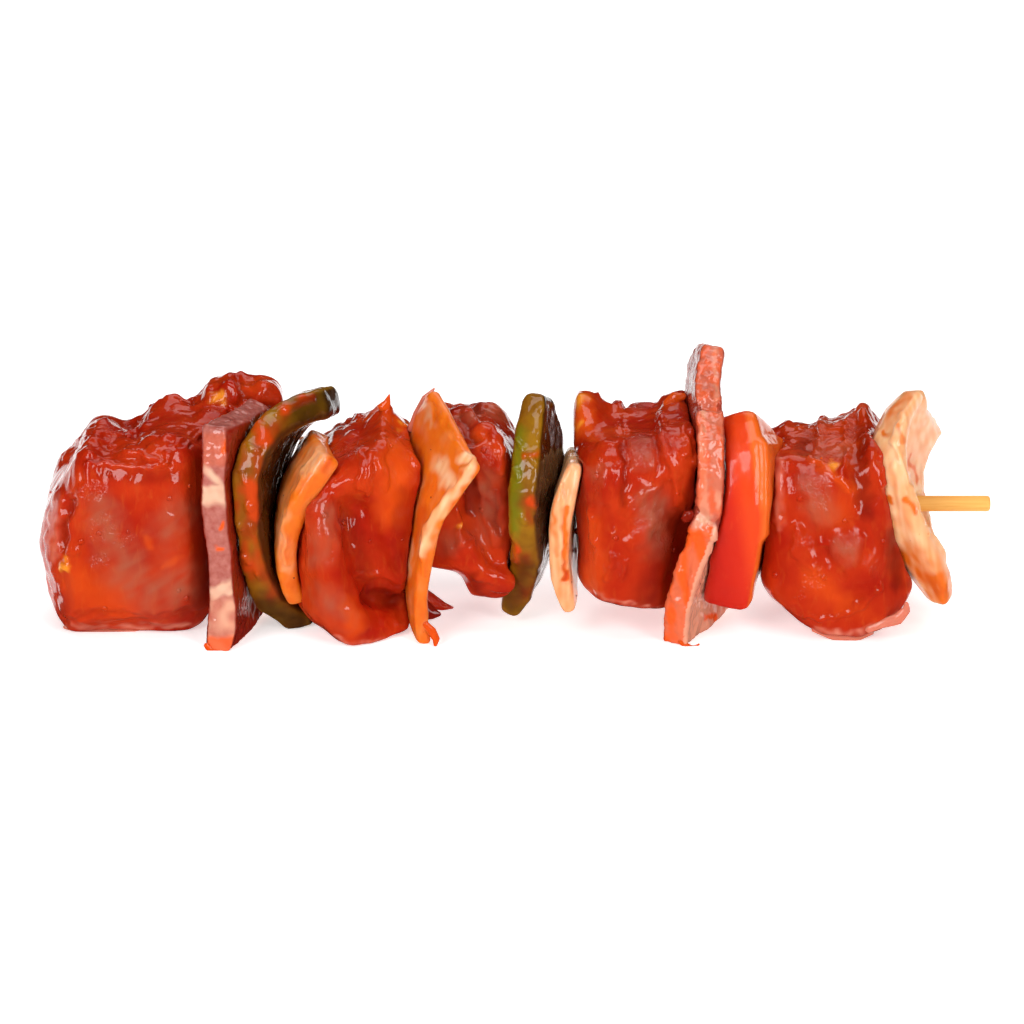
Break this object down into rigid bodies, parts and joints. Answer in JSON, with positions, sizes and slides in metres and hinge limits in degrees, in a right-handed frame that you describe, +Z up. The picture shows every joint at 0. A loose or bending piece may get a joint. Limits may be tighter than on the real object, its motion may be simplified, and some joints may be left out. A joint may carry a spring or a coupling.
{
  "type": "pork skewer",
  "caption": "Raw marinated pork chunks with bacon, sweet pepper and onion threaded close together on a round bamboo stick, lying level.",
  "frame": {"origin": "middle of the underside of the whole skewer, where it lies on the table", "axes": "+X along the stick towards its blunt end, +Y from the side shown to the back, +Z up"},
  "size_m": [0.1896, 0.0414, 0.0564],
  "materials": {
    "marinated_pork": "wet meat under orange-red marinade",
    "bacon": "moist pink cured meat with pale fat bands",
    "green_pepper": "wet olive skin with drops of marinade",
    "red_pepper": "smooth wet red skin",
    "onion": "moist cream layers stained orange",
    "bamboo": "plain dry bamboo"
  },
  "bodies": {
    "root": {"pork_1": "marinated_pork", "pork_2": "marinated_pork", "pork_3": "marinated_pork", "pork_4": "marinated_pork", "pork_5": "marinated_pork", "bacon_slice_1": "bacon", "bacon_slice_2": "bacon", "green_pepper_1": "green_pepper", "green_pepper_2": "green_pepper", "red_pepper": "red_pepper", "onion_petal_1": "onion", "onion_petal_2": "onion", "onion_petal_3": "onion", "onion_petal_4": "onion", "skewer_stick": "bamboo"}
  },
  "joints": []
}
